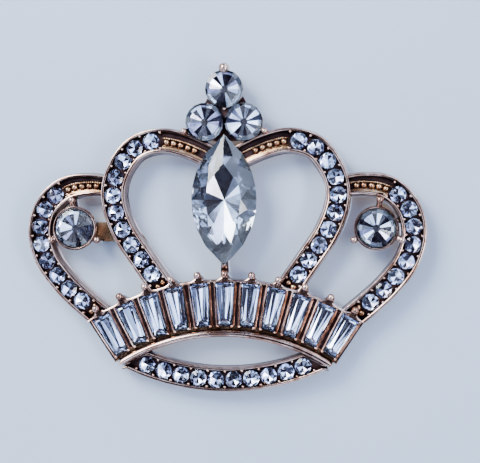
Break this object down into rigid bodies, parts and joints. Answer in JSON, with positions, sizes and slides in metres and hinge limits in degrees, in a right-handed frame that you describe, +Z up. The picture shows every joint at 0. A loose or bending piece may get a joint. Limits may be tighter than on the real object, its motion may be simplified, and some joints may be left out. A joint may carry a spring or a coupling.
{
  "type": "crown brooch",
  "caption": "Crown-shaped jewelled brooch: gold-plated channels set with round, marquise and baguette crystals, and a hinged pin stem with a turning safety catch behind.",
  "frame": {"origin": "on the axis of the closed pin stem, on the crown's centre line", "axes": "+Z up the crown as worn, the stones face -Y, the wearer's cloth is towards +Y, +X is the viewer's right"},
  "size_m": [0.0552, 0.0087, 0.0452],
  "materials": {
    "frame_metal": "polished pale rose-gold plate, dark in the recesses",
    "pin_metal": "satin yellow-gold plate",
    "round_crystal": "foil-backed clear crystal, brilliant cut",
    "marquise_crystal": "foil-backed clear crystal, marquise cut",
    "baguette_crystal": "foil-backed clear crystal, step cut"
  },
  "bodies": {
    "crown": {"left_inner_arch": "frame_metal", "right_inner_arch": "frame_metal", "left_outer_arch": "frame_metal", "right_outer_arch": "frame_metal", "baguette_band": "frame_metal", "base_rail": "frame_metal", "base_channel": "frame_metal", "finial_setting": "frame_metal", "marquise_setting": "frame_metal", "left_side_setting": "frame_metal", "right_side_setting": "frame_metal", "marquise_stone": "marquise_crystal", "finial_top_stone": "round_crystal", "finial_left_stone": "round_crystal", "finial_right_stone": "round_crystal", "left_side_stone": "round_crystal", "right_side_stone": "round_crystal", "baguette_stone_01": "baguette_crystal", "baguette_stone_02": "baguette_crystal", "baguette_stone_03": "baguette_crystal", "baguette_stone_04": "baguette_crystal", "baguette_stone_05": "baguette_crystal", "baguette_stone_06": "baguette_crystal", "baguette_stone_07": "baguette_crystal", "baguette_stone_08": "baguette_crystal", "baguette_stone_09": "baguette_crystal", "baguette_stone_10": "baguette_crystal", "baguette_stone_11": "baguette_crystal", "left_inner_arch_stones": "round_crystal", "right_inner_arch_stones": "round_crystal", "left_outer_arch_stones": "round_crystal", "right_outer_arch_stones": "round_crystal", "base_channel_stones": "round_crystal", "hinge_bracket": "pin_metal", "hinge_rivet": "pin_metal", "catch_base": "pin_metal"},
    "pin": {"pin_stem": "pin_metal"},
    "lock": {"catch_barrel": "pin_metal"}
  },
  "joints": [
    {"name": "pin_hinge", "type": "hinge", "parent": "crown", "child": "pin", "pos_m": [-0.0172, 0, 0], "axis": [0, 0, 1], "range_deg": [0, 85]},
    {"name": "lock_turn", "type": "hinge", "parent": "crown", "child": "lock", "pos_m": [0.014, 0, 0], "axis": [1, 0, 0], "range_deg": [0, 120]}
  ]
}
